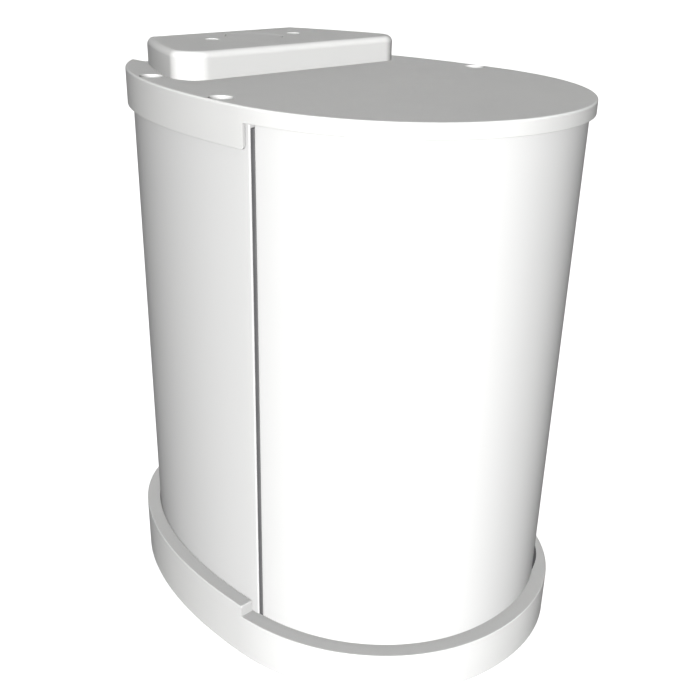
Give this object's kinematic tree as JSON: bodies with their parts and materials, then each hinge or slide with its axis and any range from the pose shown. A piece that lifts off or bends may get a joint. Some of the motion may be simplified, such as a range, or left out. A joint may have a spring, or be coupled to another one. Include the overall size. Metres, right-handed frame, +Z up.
{
  "type": "trash compactor",
  "caption": "Free-standing trash compactor: an oval white drum whose front pulls out as a bin drawer, with a raised drive cover on top and a belt-and-screw ram inside.",
  "frame": {"origin": "middle of the footprint, on the floor under the rubber feet", "axes": "+Z up, -Y out of the front (the way the drawer opens), +X to the right of someone who faces the front"},
  "size_m": [0.579, 0.771, 0.863],
  "materials": {
    "white_enamel": "semi-gloss white enamel",
    "white_plastic": "satin white",
    "zinc_sheet": "zinc-plated, dull",
    "plain_steel": "bright, lightly brushed",
    "bronze_nut": "machined",
    "black_rubber": "matt",
    "dark_plastic": "fine texture",
    "bin_plastic": "satin",
    "board_laminate": "solder mask",
    "lens_plastic": "milky, glossy"
  },
  "bodies": {
    "cabinet": {"base_plinth": "white_plastic", "button_spring": "plain_steel", "cabinet_shell": "white_enamel", "chamber_back": "zinc_sheet", "control_board": "board_laminate", "door_seal": "black_rubber", "drive_belt": "black_rubber", "drive_cover": "white_plastic", "drive_plate": "zinc_sheet", "front_left_foot": "black_rubber", "front_left_lid_screw": "plain_steel", "front_right_foot": "black_rubber", "front_right_lid_screw": "plain_steel", "gear_motor": "plain_steel", "latch_housing": "dark_plastic", "left_indicator": "lens_plastic", "left_outer_slide": "plain_steel", "left_panel_screw": "plain_steel", "left_screw_bearing": "plain_steel", "left_side_frame": "zinc_sheet", "lid_cover": "white_plastic", "limit_switch": "dark_plastic", "power_inlet": "dark_plastic", "rear_left_foot": "black_rubber", "rear_left_lid_screw": "plain_steel", "rear_panel": "white_enamel", "rear_right_foot": "black_rubber", "rear_right_lid_screw": "plain_steel", "right_indicator": "lens_plastic", "right_outer_slide": "plain_steel", "right_panel_screw": "plain_steel", "right_screw_bearing": "plain_steel", "right_side_frame": "zinc_sheet", "wiring_loom": "dark_plastic"},
    "drawer": {"door_shell": "white_enamel", "door_liner": "white_plastic", "door_top_cap": "white_plastic", "door_bottom_cap": "white_plastic", "drawer_carrier": "zinc_sheet", "left_inner_slide": "plain_steel", "right_inner_slide": "plain_steel", "waste_bin": "bin_plastic"},
    "bail": {"bail_handle": "plain_steel", "bail_grip": "dark_plastic"},
    "left_middle": {"left_middle_slide": "plain_steel"},
    "right_middle": {"right_middle_slide": "plain_steel"},
    "ram": {"ram_plate": "plain_steel", "ram_column": "zinc_sheet", "ram_bridge": "zinc_sheet", "left_drive_nut": "bronze_nut", "right_drive_nut": "bronze_nut", "left_guide_shoe": "dark_plastic", "right_guide_shoe": "dark_plastic"},
    "left_screw": {"left_power_screw": "plain_steel", "left_screw_pulley": "zinc_sheet"},
    "right_screw": {"right_power_screw": "plain_steel", "right_screw_pulley": "zinc_sheet"},
    "motor_output": {"motor_pulley": "plain_steel"},
    "button": {"start_button": "white_plastic"},
    "latch": {"latch_plunger": "white_plastic"}
  },
  "joints": [
    {"name": "drawer_slide", "type": "slide", "parent": "cabinet", "child": "drawer", "axis": [0, -1, 0], "range_m": [0, 0.3]},
    {"name": "left_middle_travel", "type": "slide", "parent": "cabinet", "child": "left_middle", "axis": [0, -1, 0], "range_m": [0, 0.15]},
    {"name": "right_middle_travel", "type": "slide", "parent": "cabinet", "child": "right_middle", "axis": [0, -1, 0], "range_m": [0, 0.15]},
    {"name": "bail_hinge", "type": "hinge", "parent": "drawer", "child": "bail", "pos_m": [0, 0.053, 0.468], "axis": [1, 0, 0], "range_deg": [0, 180]},
    {"name": "ram_travel", "type": "slide", "parent": "cabinet", "child": "ram", "axis": [0, 0, 1], "range_m": [-0.26, 0]},
    {"name": "left_screw_spin", "type": "hinge", "parent": "cabinet", "child": "left_screw", "pos_m": [-0.21, -0.04, 0.776], "axis": [0, 0, 1], "range_deg": [-3760, 10]},
    {"name": "right_screw_spin", "type": "hinge", "parent": "cabinet", "child": "right_screw", "pos_m": [0.21, -0.04, 0.776], "axis": [0, 0, 1], "range_deg": [-3760, 10]},
    {"name": "motor_spin", "type": "hinge", "parent": "cabinet", "child": "motor_output", "pos_m": [0, 0.232, 0.776], "axis": [0, 0, 1], "range_deg": [-9400, 10]},
    {"name": "button_press", "type": "slide", "parent": "cabinet", "child": "button", "axis": [0, 0, -1], "range_m": [0, 0.003], "stiffness_N_per_m": 600, "springref_m": -0.002, "deforming": ["button_spring"]},
    {"name": "latch_press", "type": "slide", "parent": "cabinet", "child": "latch", "axis": [0, 1, 0], "range_m": [0, 0.004], "stiffness_N_per_m": 800, "springref_m": -0.002}
  ],
  "couplings": [
    {"joint": "left_middle_travel", "follows": "drawer_slide", "ratio": 0.5},
    {"joint": "right_middle_travel", "follows": "drawer_slide", "ratio": 0.5},
    {"joint": "left_screw_spin", "follows": "ram_travel", "rad_per_m": 251.33},
    {"joint": "right_screw_spin", "follows": "ram_travel", "rad_per_m": 251.33},
    {"joint": "motor_spin", "follows": "ram_travel", "rad_per_m": 628.32}
  ]
}
